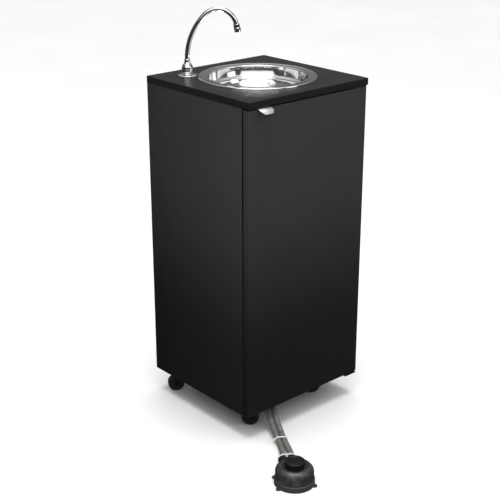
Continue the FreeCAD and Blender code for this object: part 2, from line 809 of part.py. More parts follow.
def door_pull():
    """Edge pull: a flat flange over the door's top edge that runs out into a drooping lip."""
    x0 = BODY_LEFT + PULL_FROM_LEFT
    low = DOOR_TOP
    edge = DOOR_FRONT
    tip = (edge - PULL_REACH, low - PULL_DROP)
    place = lambda p: V(x0, p[0], p[1])
    steps = (
        (edge - 1.0, low + PULL_T),
        ((edge - 14.5, low - 2.2), (tip[0], tip[1] + 0.6)),
        (tip[0] + 1.2, tip[1] - 0.4),
        ((edge - 13.5, low - 3.4), (edge - 1.0, low)),
        (edge + 15.0, low),
    )
    outline = path_edges((edge + 15.0, low + PULL_T), steps, place)
    outline.append(Part.makeLine(place((edge + 15.0, low)), place((edge + 15.0, low + PULL_T))))
    lip = Part.Face(Part.Wire(outline)).extrude(V(PULL_W, 0, 0))
    plan = block(x0, x0 + PULL_W, edge - PULL_REACH - 1, edge + 15, low - 30, low + 10)
    corners = [e for e in upright_edges(plan) if e.Vertexes[0].Y < edge]
    lip = lip.common(plan.makeFillet(PULL_CORNER_R, corners))
    for x, y in pull_screw_places():
        lip = lip.cut(cylinder(1.6, x, y, low - 1, low + 3))
    return lip


def pull_screws():
    top = DOOR_TOP + PULL_T
    return Part.makeCompound(
        [screw(x, y, top, DOOR_TOP - 14, shank_r=1.5, head_r=2.8, head_h=0.8) for x, y in pull_screw_places()]
    )


def hinge_plates():
    """Two pivot plates: one under the worktop, one under the cabinet's floor, each with its pin."""
    pin_into_door = BUSH_DEPTH - 2
    top = block(PIVOT_X - 42, BODY_RIGHT, DOOR_FRONT, DOOR_BACK, UNDER_TOP - 2, UNDER_TOP)
    top_pin = cylinder(PIN_R, PIVOT_X, PIVOT_Y, DOOR_TOP - pin_into_door, UNDER_TOP - 1)
    top = joined([top, top_pin])
    for x, y in top_hinge_screw_places():
        top = top.cut(cylinder(2.0, x, y, UNDER_TOP - 3, UNDER_TOP + 1))
    bottom = block(PIVOT_X - 34, BODY_RIGHT, DOOR_FRONT, PIVOT_Y + 44, BASE_Z - 2, BASE_Z)
    bottom_pin = cylinder(PIN_R, PIVOT_X, PIVOT_Y, BASE_Z - 1, DOOR_BOTTOM + pin_into_door)
    bottom = joined([bottom, bottom_pin])
    for x, y in hinge_screw_places():
        bottom = bottom.cut(cylinder(2.0, x, y, BASE_Z - 3, BASE_Z + 1))
    return Part.makeCompound([top, bottom])


def hinge_bushes():
    inside = PIN_R + RUNNING_GAP
    top = ring(BUSH_R, inside, PIVOT_X, PIVOT_Y, DOOR_TOP - BUSH_DEPTH, DOOR_TOP)
    sleeve = cylinder(BUSH_R, PIVOT_X, PIVOT_Y, DOOR_BOTTOM - 1, DOOR_BOTTOM + BUSH_DEPTH)
    shoulder = cylinder(5.6, PIVOT_X, PIVOT_Y, BASE_Z + 0.3, DOOR_BOTTOM)
    bottom = joined([sleeve, shoulder])
    bottom = bottom.cut(cylinder(inside, PIVOT_X, PIVOT_Y, BASE_Z - 1, DOOR_BOTTOM + BUSH_DEPTH + 1))
    return Part.makeCompound([top, bottom])


def door_catch():
    """Magnetic catch on the left side panel, facing the door."""
    z = UNDER_TOP - RAIL_H - 60
    body = block(INNER_LEFT, INNER_LEFT + 15, BODY_FRONT + 1, BODY_FRONT + 24, z, z + 46)
    body = body.makeFillet(2.0, [e for e in body.Edges if e.Vertexes[0].X > INNER_LEFT + 14])
    magnet = block(INNER_LEFT + 4, INNER_LEFT + 11, DOOR_BACK + 2, BODY_FRONT + 3, z + 6, z + 40)
    return joined([body, magnet])


def catch_plate():
    z = UNDER_TOP - RAIL_H - 60
    plate = block(INNER_LEFT + 1, INNER_LEFT + 14, DOOR_BACK, DOOR_BACK + 1.4, z + 3, z + 43)
    return plate.makeFillet(0.5, [e for e in plate.Edges if all(v.Y > DOOR_BACK + 1 for v in e.Vertexes)])


# Casters


def caster_plates():
    plates = []
    for x, y in caster_centres().values():
        plate = block(x - 30, x + 30, y - 24, y + 24, BASE_Z - 2, BASE_Z)
        plate = plate.makeFillet(5.0, upright_edges(plate))
        race_outline = ((17.0, 0.0), (16.0, -6.0), (13.0, -8.7), (0.0, -8.7))
        race = turned_solid(x, y, BASE_Z - 2, (0.0, 0.0), *race_outline)
        kingpin = cylinder(KINGPIN_R, x, y, BASE_Z - 14.5, BASE_Z - 5)
        head = cylinder(6.5, x, y, BASE_Z - 16.0, BASE_Z - 14.3)
        plates.append(joined([plate, race, kingpin, head]))
    for i, plate in enumerate(plates):
        for x, y in caster_screw_places()[4 * i:4 * i + 4]:
            plate = plate.cut(cylinder(2.2, x, y, BASE_Z - 3, BASE_Z + 1))
        plates[i] = plate
    return Part.makeCompound(plates)


def wheel_centre(name):
    x, y = caster_centres()[name]
    return V(x, y, WHEEL_R) + turned(CASTER_HEADINGS[name]) * CASTER_TRAIL


def caster_fork(name):
    """Crown plate with two legs down to the axle."""
    x, y = caster_centres()[name]
    high = BASE_Z - 11.0
    inner = WHEEL_W / 2 + 0.7
    outer = inner + 2.0
    crown = cylinder(outer + 4.4, 0, 0, high - 3.0, high)
    legs = []
    for side in (-1, 1):
        top = block(-10, 16, inner, outer, high - 9, high - 0.01)
        low = Part.makeCylinder(7.0, 2.0, V(CASTER_TRAIL, inner, WHEEL_R), V(0, 1, 0))
        web = Part.Face(
            Part.makePolygon(
                [
                    V(-10, inner, high - 9),
                    V(16, inner, high - 9),
                    V(CASTER_TRAIL + 7, inner, WHEEL_R),
                    V(CASTER_TRAIL - 6.4, inner, WHEEL_R - 3),
                    V(-10, inner, high - 9),
                ]
            )
        ).extrude(V(0, 2.0, 0))
        leg = joined([top, low, web])
        if side < 0:
            leg = leg.mirror(V(0, 0, 0), V(0, 1, 0))
        legs.append(leg)
    bridge = block(-10, 16, -outer, outer, high - 3.0, high)
    fork = joined([crown, bridge] + legs)
    fork = fork.cut(cylinder(KINGPIN_R + RUNNING_GAP, 0, 0, high - 4, high + 1))
    axle_hole = Part.makeCylinder(AXLE_R, 60, V(CASTER_TRAIL, -30, WHEEL_R), V(0, 1, 0))
    fork = fork.cut(axle_hole)
    fork.rotate(V(0, 0, 0), UP, CASTER_HEADINGS[name])
    fork.translate(V(x, y, 0))
    return fork


def caster_axle(name):
    """Riveted axle with a domed head at each end."""
    side = turned(CASTER_HEADINGS[name] + 90)
    centre = wheel_centre(name)
    half = WHEEL_W / 2 + 2.7
    shaft = rod(AXLE_R, centre - side * half, centre + side * half)
    heads = [
        Part.makeCone(5.0, 3.6, 1.6, centre + side * (end * half), side * end) for end in (-1, 1)
    ]
    return joined([shaft] + heads)


def caster_wheel(name):
    """Wheel with a crowned tread, dished sides and a plain bore, about its axle."""
    r = WHEEL_R
    half = WHEEL_W / 2
    bore = AXLE_R + RUNNING_GAP
    wheel = turned_solid(
        0, 0, 0,
        (bore, -half),
        (8.0, -half),
        (8.8, -half + 2.4),
        (16.5, -half + 2.4),
        (17.4, -half + 0.6),
        (r - 2.2, -half + 0.6),
        ((r - 0.7, -half + 1.4), (r - 0.2, -half + 3.4)),
        ((r, 0.0), (r - 0.2, half - 3.4)),
        ((r - 0.7, half - 1.4), (r - 2.2, half - 0.6)),
        (17.4, half - 0.6),
        (16.5, half - 2.4),
        (8.8, half - 2.4),
        (8.0, half),
        (bore, half),
    )
    side = turned(CASTER_HEADINGS[name] + 90)
    wheel.Placement = FreeCAD.Placement(wheel_centre(name), FreeCAD.Rotation(UP, side))
    return wheel


# Foot pump


def at_pump(along, across, height):
    return V(PUMP_X, PUMP_Y, height) + ALONG * along + ACROSS * across


def pump_lug_places():
    return [V(PUMP_X, PUMP_Y, 0) + turned(PUMP_HEADING + a) * PUMP_LUG_PITCH_R for a in PUMP_LUG_ANGLES]


def pump_base():
    """Round base with four screw lugs and two sockets for the hoses, each with a flared mouth."""
    cup = turned_solid(
        PUMP_X, PUMP_Y, 0,
        (0.0, 0.0),
        (PUMP_BASE_R - 1.0, 0.0),
        (PUMP_BASE_R, 1.0),
        (PUMP_BASE_R, PUMP_BASE_H - 1.5),
        (PUMP_BASE_R - 1.5, PUMP_BASE_H),
        (PUMP_DOME_R + 0.3, PUMP_BASE_H),
        (PUMP_DOME_R + 0.3, PUMP_SKIRT_Z),
        (38.0, PUMP_SKIRT_Z),
        (38.0, 4.0),
        (0.0, 4.0),
    )
    pieces = [cup]
    for spot in pump_lug_places():
        outward = spot - V(PUMP_X, PUMP_Y, 0)
        pieces.append(cylinder(PUMP_LUG_END_R, spot.x, spot.y, 0, PUMP_LUG_T))
        pieces.append(bar_between(spot, spot - outward * 0.2, PUMP_LUG_END_R, PUMP_LUG_T))
    for side in (1, -1):
        across = side * PORT_SPACING / 2
        pieces.append(rod(PORT_R, at_pump(38, across, PORT_HEIGHT), at_pump(PORT_END, across, PORT_HEIGHT)))
    cuts = [cylinder(PUMP_LUG_HOLE_R, s.x, s.y, -1, PUMP_LUG_T + 1) for s in pump_lug_places()]
    cuts.append(cylinder(PUMP_DOME_R + 0.3, PUMP_X, PUMP_Y, PUMP_SKIRT_Z, PUMP_DOME_TOP))
    cuts.append(cylinder(38.0, PUMP_X, PUMP_Y, 4.0, PUMP_DOME_TOP))
    for side in (1, -1):
        across = side * PORT_SPACING / 2
        seat = at_pump(PORT_SEAT, across, PORT_HEIGHT)
        mouth_depth = PORT_END - PORT_SEAT - 3
        cuts.append(rod(2.8, at_pump(34, across, PORT_HEIGHT), seat))
        cuts.append(rod(HOSE_R - 0.05, seat - ALONG, seat + ALONG * 4))
        cuts.append(Part.makeCone(HOSE_R, HOSE_R + 1.2, mouth_depth, seat + ALONG * 3, ALONG))
    return joined(pieces).cut(cuts)


def bar_between(start, end, half_width, thickness):
    along = (end - start).normalize()
    side = V(-along.y, along.x, 0) * half_width
    corners = [start - side, start + side, end + side, end - side, start - side]
    return Part.Face(Part.makePolygon(corners)).extrude(UP * thickness)


def pump_bellows():
    """Rubber dome: a straight skirt gripped in the base, a full shoulder with a raised lip, and a
    flat top inside the lip for the button."""
    low = PUMP_SKIRT_Z
    top = PUMP_DOME_TOP
    r = PUMP_DOME_R
    return turned_solid(
        PUMP_X, PUMP_Y, 0,
        (r, low),
        (r, top - 14.5),
        ((r - 4.0, top - 1.6), (r - 13.0, top + 3.4)),
        ((r - 16.4, top + 2.9), (r - 18.5, top)),
        (0.0, top),
        (0.0, top - 3.0),
        (r - 17.0, top - 3.0),
        (r - 14.0, top + 0.5),
        ((r - 6.6, top - 3.7), (r - 3.0, top - 14.5)),
        (r - 3.0, low),
    )


def pump_ring():
    """Clamping ring pressed down inside the dome's skirt."""
    return ring(PUMP_DOME_R - 3.0, 39.0, PUMP_X, PUMP_Y, PUMP_SKIRT_Z, PUMP_BASE_H + 1.0)


def pump_spring():
    """Return spring between the base's floor and the dome's top: half turns that lean one way and
    the other, so that each runs on smoothly from the last."""
    low = 5.4
    turns = 5
    coil_r = 15.0
    wire_r = 1.2
    rise = (PUMP_DOME_TOP - 3.0 - low - 1.4) / (2 * turns)
    halves = []
    for i in range(2 * turns):
        side = 1 if i % 2 == 0 else -1
        start = V(side * coil_r, 0, i * rise)
        middle = V(0, 0, (i + 0.5) * rise)
        section = Part.Face(Part.Wire(Part.Circle(start, V(0, 1, 0), wire_r).toShape()))
        halves.append(section.revolve(middle, V(side * rise, 0, 2 * coil_r), 180))
    spring = joined(halves)
    spring.translate(V(PUMP_X, PUMP_Y, low))
    return spring


def pump_valves():
    """Two rubber flap discs on the pump's floor, one in front of each port."""
    discs = []
    for side in (1, -1):
        spot = at_pump(24, side * PORT_SPACING / 2, 0)
        disc = cylinder(8.0, spot.x, spot.y, 4.0, 5.6)
        discs.append(joined([disc, cylinder(2.4, spot.x, spot.y, 5.6, 8.0)]))
    return Part.makeCompound(discs)


def pump_cap():
    """Foot button: a thick disc with a rounded rim, dished on top."""
    low = PUMP_DOME_TOP + PUMP_CAP_GAP
    high = PUMP_CAP_H
    r = PUMP_CAP_R
    return turned_solid(
        PUMP_X, PUMP_Y, low,
        (0.0, 0.0),
        (r - 4.0, 0.0),
        (r - 4.0, 2.6),
        (r - 0.6, 3.4),
        (r, 5.0),
        (r, high - 2.4),
        ((r - 0.7, high - 0.7), (r - 2.4, high)),
        (r - 4.0, high - 0.4),
        (r - 6.0, high - 1.9),
        (0.0, high - 2.3),
    )


def pair_route(side):
    """Points of one hose of the pair; side is 1 for the pressure hose and -1 for the suction hose."""
    return [at_pump(along, across + side * gap / 2, height) for along, across, height, gap in HOSE_ROUTE]


def tie_rings():
    """Cable ties: flat rings round both hoses, each with its locking head at the side."""
    ties = []
    for run in TIE_RUNS:
        starts = [pair_route(side)[run] for side in (1, -1)]
        ends = [pair_route(side)[run + 1] for side in (1, -1)]
        middles = [(a + b) * 0.5 for a, b in zip(starts, ends)]
        centre = (middles[0] + middles[1]) * 0.5
        forward = (ends[0] + ends[1] - starts[0] - starts[1]).normalize()
        half_gap = (middles[0] - middles[1]).Length / 2
        inside = HOSE_R + 0.5
        loop = stadium(half_gap, inside + TIE_T).cut(stadium(half_gap, inside))
        end = half_gap + inside
        half_width = TIE_WIDTH / 2 + 0.8
        head = block(-end - 4.6, -end - 0.4, -half_width, half_width, -3.4, 3.4)
        tie = joined([loop, head])
        tie.Placement = FreeCAD.Placement(centre, FreeCAD.Rotation(V(1, 0, 0), ACROSS * -1))
        lean = math.degrees(math.asin(forward.z))
        tie.rotate(centre, ACROSS, -lean)
        ties.append(tie)
    return Part.makeCompound(ties)


def stadium(half_gap, radius):
    """Rounded bar lying along X, its flat sides up and down, one tie's width along Y."""
    place = lambda p: V(p[0], -TIE_WIDTH / 2, p[1])
    edges = path_edges(
        (-half_gap, radius),
        (
            (half_gap, radius),
            ((half_gap + radius, 0.0), (half_gap, -radius)),
            (-half_gap, -radius),
            ((-half_gap - radius, 0.0), (-half_gap, radius)),
        ),
        place,
    )
    return Part.Face(Part.Wire(edges)).extrude(V(0, TIE_WIDTH, 0))


def all_parts():
    parts = {
        "side_panel_left": side_panel(BODY_LEFT),
        "side_panel_right": side_panel(INNER_RIGHT),
        "back_panel": back_panel(),
        "bottom_panel": bottom_panel(),
        "top_rails": top_rails(),
        "worktop": worktop(),
        "wood_screws": wood_screws(),
        "sink_bowl": sink_bowl(),
        "bowl_seal": bowl_seal(),
        "bowl_clips": bowl_clips(),
        "drain_strainer": drain_strainer(),
        "drain_gasket": drain_gasket(),
        "drain_nut": drain_nut(),
        "drain_tail": drain_tail(),
        "waste_hose": waste_hose(),
        "hose_clamps": hose_clamps(),
        "faucet_flange": faucet_flange(),
        "faucet_body": faucet_body(),
        "faucet_nut": faucet_nut(),
        "spout_pipe": spout_pipe(),
        "spout_collar": spout_collar(),
        "aerator": aerator(),
        "supply_line": supply_line(),
        "suction_line": suction_line(),
        "fresh_tank": tank(FRESH_X, FRESH_NECK_X),
        "fresh_cap": tank_cap(FRESH_NECK_X, 5.1),
        "dip_tube": dip_tube(),
        "waste_tank": tank(WASTE_X, WASTE_NECK_X),
        "waste_cap": tank_cap(WASTE_NECK_X, 11.0),
        "hose_elbows": hose_elbows(),
        "elbow_nuts": elbow_nuts(),
        "door_panel": door_panel(),
        "door_pull": door_pull(),
        "pull_screws": pull_screws(),
        "hinge_plates": hinge_plates(),
        "hinge_bushes": hinge_bushes(),
        "door_catch": door_catch(),
        "catch_plate": catch_plate(),
        "caster_plates": caster_plates(),
        "pump_base": pump_base(),
        "pump_bellows": pump_bellows(),
        "pump_ring": pump_ring(),
        "pump_spring": pump_spring(),
        "pump_valves": pump_valves(),
        "pump_cap": pump_cap(),
        "pressure_hose": hose("pressure_hose", pair_route(1), HOSE_R),
        "suction_hose": hose("suction_hose", pair_route(-1), HOSE_R),
        "hose_ties": tie_rings(),
    }
    for name in CASTER_HEADINGS:
        parts[f"caster_fork_{name}"] = caster_fork(name)
        parts[f"caster_axle_{name}"] = caster_axle(name)
        parts[f"caster_wheel_{name}"] = caster_wheel(name)
    return parts


def main():
    os.makedirs("parts", exist_ok=True)
    for name, shape in all_parts().items():
        if not shape.isValid() or not shape.Solids:
            print(f"{name}: not a valid solid")
        shape.exportStep(f"parts/{name}.step")


main()
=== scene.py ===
import json
import math

import bmesh
import bpy
from mathutils import Matrix, Vector


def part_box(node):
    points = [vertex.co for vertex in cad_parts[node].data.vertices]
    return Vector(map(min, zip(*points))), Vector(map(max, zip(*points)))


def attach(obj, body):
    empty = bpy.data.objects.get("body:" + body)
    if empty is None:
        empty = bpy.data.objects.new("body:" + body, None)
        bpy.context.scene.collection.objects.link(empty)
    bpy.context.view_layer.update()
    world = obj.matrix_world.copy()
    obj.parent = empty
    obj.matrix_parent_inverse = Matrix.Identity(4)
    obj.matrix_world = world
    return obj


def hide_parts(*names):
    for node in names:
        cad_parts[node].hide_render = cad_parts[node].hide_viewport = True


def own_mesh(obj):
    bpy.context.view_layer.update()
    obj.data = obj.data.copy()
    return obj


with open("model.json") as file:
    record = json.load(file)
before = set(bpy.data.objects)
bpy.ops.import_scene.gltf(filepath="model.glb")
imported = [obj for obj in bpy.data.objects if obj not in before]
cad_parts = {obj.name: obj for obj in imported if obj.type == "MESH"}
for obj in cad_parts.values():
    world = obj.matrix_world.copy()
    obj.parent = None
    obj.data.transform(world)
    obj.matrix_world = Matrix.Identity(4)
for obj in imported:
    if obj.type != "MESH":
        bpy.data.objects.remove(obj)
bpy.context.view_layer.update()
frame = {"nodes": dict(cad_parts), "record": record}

NODES = frame["nodes"]
MM = 0.001


# ---------------------------------------------------------------- places read from the frame


def centre_of(node):
    low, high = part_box(node)
    return (low + high) / 2


def turned(degrees):
    return Vector((math.cos(math.radians(degrees)), math.sin(math.radians(degrees)), 0.0))


WORKTOP_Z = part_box("worktop")[1].z
BOWL = centre_of("sink_bowl").xy.to_3d() + Vector((0, 0, WORKTOP_Z))
FAUCET = centre_of("faucet_flange").xy.to_3d() + Vector((0, 0, WORKTOP_Z))
PUMP = centre_of("pump_cap").xy.to_3d()
PUMP_HEADING = 58.0
ALONG = turned(PUMP_HEADING)
ACROSS = turned(PUMP_HEADING + 90)
CASTERS = {"front_left": -42.0, "front_right": 160.0, "rear_left": 150.0, "rear_right": 205.0}


# ---------------------------------------------------------------- camera, floor and light


CAMERA_PLACE = (-1.7942, -1.9189, 1.4977)
CAMERA_DOWN = 21.27
CAMERA_HEADING = -41.57
FLOOR_HALF = 30.0


def make_camera():
    data = bpy.data.cameras.new("camera")
    data.lens = 79.1
    data.sensor_width = 36.0
    camera = bpy.data.objects.new("camera", data)
    camera.location = CAMERA_PLACE
    camera.rotation_euler = (math.radians(90 - CAMERA_DOWN), 0, math.radians(CAMERA_HEADING))
    bpy.context.scene.collection.objects.link(camera)
    bpy.context.scene.camera = camera


def make_floor():
    mesh = bpy.data.meshes.new("floor")
    corners = [(x * FLOOR_HALF, y * FLOOR_HALF, 0) for x, y in ((-1, -1), (1, -1), (1, 1), (-1, 1))]
    mesh.from_pydata(corners, [], [(0, 1, 2, 3)])
    floor = bpy.data.objects.new("floor", mesh)
    bpy.context.scene.collection.objects.link(floor)
    n = Nodes("floor_pale")
    blotch = n.noise(n.coords(), 1.5, 4)
    n["Base Color"] = n.mix(blotch, (0.86, 0.87, 0.88), (0.90, 0.905, 0.91))
    n["Roughness"] = n.span(blotch, 0.5, 0.6)
    mesh.materials.append(n.material)
    floor.visible_glossy = False


def make_light(name, place, target, size, power):
    data = bpy.data.lights.new(name, "AREA")
    data.shape = "RECTANGLE"
    data.size, data.size_y = size
    data.energy = power
    light = bpy.data.objects.new(name, data)
    light.location = place
    light.rotation_euler = (Vector(target) - Vector(place)).to_track_quat("-Z", "Y").to_euler()
    bpy.context.scene.collection.objects.link(light)


def make_sun(strength, spread):
    """Wide light from straight above: it whitens the floor and hardly touches upright faces."""
    data = bpy.data.lights.new("skylight", "SUN")
    data.energy = strength
    data.angle = math.radians(spread)
    sun = bpy.data.objects.new("skylight", data)
    sun.location = (0, 0, 4)
    bpy.context.scene.collection.objects.link(sun)


def make_world():
    """A studio: bright overhead, a soft grey backdrop behind, a dark room low down and near."""
    world = bpy.data.worlds.new("studio")
    world.use_nodes = True
    tree = world.node_tree
    tree.nodes.clear()
    coords = tree.nodes.new("ShaderNodeTexCoord")
    dot = tree.nodes.new("ShaderNodeVectorMath")
    dot.operation = "DOT_PRODUCT"
    dot.inputs[1].default_value = (0.2, 0.24, 0.95)
    ramp = tree.nodes.new("ShaderNodeValToRGB")
    stops = ramp.color_ramp.elements
    stops[0].position = 0.36
    stops[0].color = (0.035, 0.03, 0.028, 1)
    stops[1].position = 0.97
    stops[1].color = (0.95, 0.95, 0.96, 1)
    for position, grey in ((0.62, 0.10), (0.82, 0.22)):
        stops.new(position).color = (grey, grey, grey, 1)
    half = tree.nodes.new("ShaderNodeMath")
    half.operation = "MULTIPLY_ADD"
    half.inputs[1].default_value = 0.5
    half.inputs[2].default_value = 0.5
    back = tree.nodes.new("ShaderNodeBackground")
    back.inputs["Strength"].default_value = 1.0
    out = tree.nodes.new("ShaderNodeOutputWorld")
    tree.links.new(coords.outputs["Generated"], dot.inputs[0])
    tree.links.new(dot.outputs["Value"], half.inputs[0])
    tree.links.new(half.outputs[0], ramp.inputs[0])
    tree.links.new(ramp.outputs[0], back.inputs["Color"])
    tree.links.new(back.outputs[0], out.inputs[0])
    bpy.context.scene.world = world


def make_studio():
    make_world()
    make_sun(2.15, 35)
    make_light("near_box", (-1.75, -1.95, 3.3), (0.055, 0.135, 0.9), (6.6, 4.2), 104)
    make_light("right", (1.4, -2.6, 2.0), (0.1, 0.0, 0.7), (1.2, 1.6), 14)
    bpy.context.scene.view_settings.view_transform = "Standard"


# ---------------------------------------------------------------- materials


# sockets of a Mix node that mixes colours
MIX_FACTOR, MIX_ONE, MIX_TWO, MIX_RESULT = 0, 6, 7, 2
SHARP_ANGLE = math.radians(35)


class Nodes:
    """A material under construction; assigning to it by name sets an input of its Principled shader."""

    def __init__(self, name):
        self.material = bpy.data.materials.new(name)
        self.material.use_nodes = True
        self.tree = self.material.node_tree
        self.principled = self.tree.nodes["Principled BSDF"]

    def __setitem__(self, socket, value):
        self.feed(self.principled.inputs[socket], value)

    def feed(self, socket, value):
        if isinstance(value, bpy.types.NodeSocket):
            self.tree.links.new(value, socket)
        elif isinstance(value, (tuple, list)) and socket.type == "RGBA":
            socket.default_value = (*value[:3], 1.0)
        else:
            socket.default_value = value

    def add(self, kind, output=0, settings=(), **inputs):
        node = self.tree.nodes.new("ShaderNode" + kind)
        for name, value in settings:
            setattr(node, name, value)
        for name, value in inputs.items():
            key = name.replace("_", " ")
            socket = node.inputs[int(key[1:])] if key[1:].isdigit() else node.inputs[key]
            self.feed(socket, value)
        return node.outputs[output]

    def coords(self, turn=(0, 0, 0), scale=(1, 1, 1)):
        where = self.add("TexCoord", "Object")
        angles = tuple(math.radians(a) for a in turn)
        return self.add("Mapping", Vector=where, Rotation=angles, Scale=scale)

    def noise(self, coords, scale, detail=3.0, rough=0.5, distort=0.0):
        return self.add(
            "TexNoise", 0, Vector=coords, Scale=scale, Detail=detail, Roughness=rough, Distortion=distort
        )

    def span(self, value, low, high, start=0.3, stop=0.7):
        return self.add(
            "MapRange", 0, Value=value, From_Min=start, From_Max=stop, To_Min=low, To_Max=high
        )

    def mix(self, factor, one, two):
        node = self.tree.nodes.new("ShaderNodeMix")
        node.data_type = "RGBA"
        self.feed(node.inputs[MIX_FACTOR], factor)
        self.feed(node.inputs[MIX_ONE], one)
        self.feed(node.inputs[MIX_TWO], two)
        return node.outputs[MIX_RESULT]

    def times(self, one, two):
        return self.add("Math", 0, [("operation", "MULTIPLY")], _0=one, _1=two)

    def plus(self, one, two):
        return self.add("Math", 0, [("operation", "ADD")], _0=one, _1=two)

    def edges(self, radius=0.0012):
        """1 on the edges and 0 on the faces, from how far a rounded normal turns away."""
        rounded = self.add("Bevel", 0, [("samples", 6)], Radius=radius)
        flat = self.add("NewGeometry", "Normal")
        same = self.add("VectorMath", 1, [("operation", "DOT_PRODUCT")], _0=rounded, _1=flat)
        return self.add("MapRange", 0, Value=same, From_Min=0.995, From_Max=0.90)

    def height(self, low, high):
        """0 at the low height and 1 at the high one, in metres above the floor."""
        up = self.add("SeparateXYZ", 2, Vector=self.add("NewGeometry", "Position"))
        smooth = [("interpolation_type", "SMOOTHSTEP")]
        return self.add("MapRange", 0, smooth, Value=up, From_Min=low, From_Max=high)

    def bump(self, height, depth):
        self["Normal"] = self.add("Bump", 0, Height=height, Distance=depth, Strength=1.0)


def laminate(name, dark, light, rough, gloss, painted_low_shade=1.0):
    """Charcoal melamine: fine pearl grain, faint smudges, small edges lightened, partly as rubbed wear and
    partly as a painted highlight. Towards the floor the colour is scaled down, a painted shade that
    darkens the board low down."""
    n = Nodes(name)
    where = n.coords()
    cloud = n.noise(where, 6, 4)
    grain = n.noise(where, 900, 2)
    smudge = n.noise(n.coords(scale=(1, 1, 0.35)), 9, 5, 0.6, 0.6)
    base = n.mix(cloud, dark, light)
    base = n.mix(n.span(grain, 0.0, 0.35, 0.62, 0.75), base, tuple(2.2 * c for c in light))
    # painted shade: the colour is darkened towards the floor in place of dimmer light low down
    if painted_low_shade < 1.0:
        base = n.mix(n.height(0.20, 0.72), tuple(painted_low_shade * c for c in dark), base)
    # lighter edges: partly rubbed wear, partly a painted highlight along the edges
    n["Base Color"] = n.mix(n.times(n.edges(), 0.35), base, tuple(3.0 * c for c in light))
    n["Roughness"] = n.plus(n.span(smudge, rough - 0.05, rough + 0.06), n.span(grain, -0.03, 0.03))
    n["Specular IOR Level"] = gloss
    n.bump(n.plus(n.times(grain, 0.6), n.noise(where, 260, 2)), 0.00006)
    return n.material


def metal(name, colour, rough, grain_scale=(1, 1, 1), depth=0.00001, stain=0.12, wave=0.0):
    """Bare metal with a grain, faint stains and brighter rubbed edges; wave adds shallow dents."""
    n = Nodes(name)
    where = n.coords()
    cloud = n.noise(where, 28, 4, 0.6)
    grain = n.noise(n.coords(scale=grain_scale), 500, 3, 0.6)
    darker = tuple(c * (1 - stain) for c in colour)
    base = n.mix(n.span(cloud, 0.0, 1.0), darker, colour)
    n["Base Color"] = n.mix(n.times(n.edges(), 0.4), base, tuple(min(1.0, c * 1.15) for c in colour))
    n["Metallic"] = 1.0
    n["Roughness"] = n.plus(n.span(grain, rough * 0.75, rough * 1.25), n.span(cloud, 0.0, rough * 0.3))
    height = grain
    if wave:
        height = n.plus(height, n.times(n.noise(where, 9, 2), wave))
    n.bump(height, depth)
    return n.material


def plastic(name, colour, other, rough, depth=0.00003, soft=0.0, coarse=320):
    """Moulded plastic: slight colour drift, pebble grain, scuffed edges."""
    n = Nodes(name)
    where = n.coords()
    cloud = n.noise(where, 14, 4)
    pebble = n.noise(where, coarse, 3)
    scuff = n.noise(n.coords(scale=(1, 1, 0.3)), 60, 5, 0.7)
    n["Base Color"] = n.mix(n.span(cloud, 0.0, 1.0), colour, other)
    worn = n.span(scuff, 0.0, 0.12, 0.55, 0.75)
    n["Roughness"] = n.plus(n.span(pebble, rough - 0.06, rough + 0.06), worn)
    if soft:
        n["Subsurface Weight"] = soft
        n["Subsurface Radius"] = (0.006, 0.006, 0.005)
        n["Subsurface Scale"] = 1.0
    n.bump(pebble, depth)
    return n.material


def rubber(name, colour, dust, rough, gloss=0.4, dust_and_highlight_streaks=0.0):
    """Black rubber with patchy bloom and a little dust on its top faces; the streak amount lays lighter
    smears along one direction, partly dust and partly a painted highlight."""
    n = Nodes(name)
    where = n.coords()
    cloud = n.noise(where, 30, 5, 0.6)
    grain = n.noise(where, 700, 3)
    up = n.add("SeparateXYZ", 2, Vector=n.add("NewGeometry", "Normal"))
    lying = n.times(n.span(up, 0.0, 1.0, 0.3, 1.0), n.span(cloud, 0.0, 0.5, 0.45, 0.75))
    base = n.mix(lying, n.mix(cloud, colour, tuple(1.5 * c for c in colour)), dust)
    # painted highlight: lighter smears, partly dust, stand in for streaky reflections
    if dust_and_highlight_streaks:
        smear_dust_and_highlight = n.noise(n.coords(turn=(0, 0, 20), scale=(1, 0.35, 0.35)), 75, 5, 0.7, 1.2)
        base = n.mix(n.span(smear_dust_and_highlight, 0.0, dust_and_highlight_streaks, 0.52, 0.70), base, tuple(1.8 * c for c in dust))
    n["Base Color"] = base
    n["Roughness"] = n.plus(n.span(grain, rough - 0.05, rough + 0.05), n.times(lying, 0.2))
    n["Specular IOR Level"] = gloss
    n.bump(n.plus(n.times(grain, 0.5), cloud), 0.00008)
    return n.material


def smoky_hose(name):
    """Clear vinyl gone smoky, with streaks along its length."""
    n = Nodes(name)
    streak = n.noise(n.coords(turn=(0, 0, -PUMP_HEADING), scale=(1, 26, 26)), 24, 4, 0.6)
    cloud = n.noise(n.coords(), 55, 4, 0.6)
    base = n.mix(n.span(streak, 0.0, 1.0, 0.36, 0.64), (0.065, 0.060, 0.055), (0.34, 0.33, 0.315))
    n["Base Color"] = n.mix(n.span(cloud, 0.0, 0.5), base, (0.12, 0.112, 0.104))
    n["Roughness"] = n.span(streak, 0.12, 0.26)
    n["Coat Weight"] = 0.6
    n["Coat Roughness"] = 0.08
    n.bump(n.plus(streak, n.times(cloud, 0.5)), 0.00025)
    return n.material
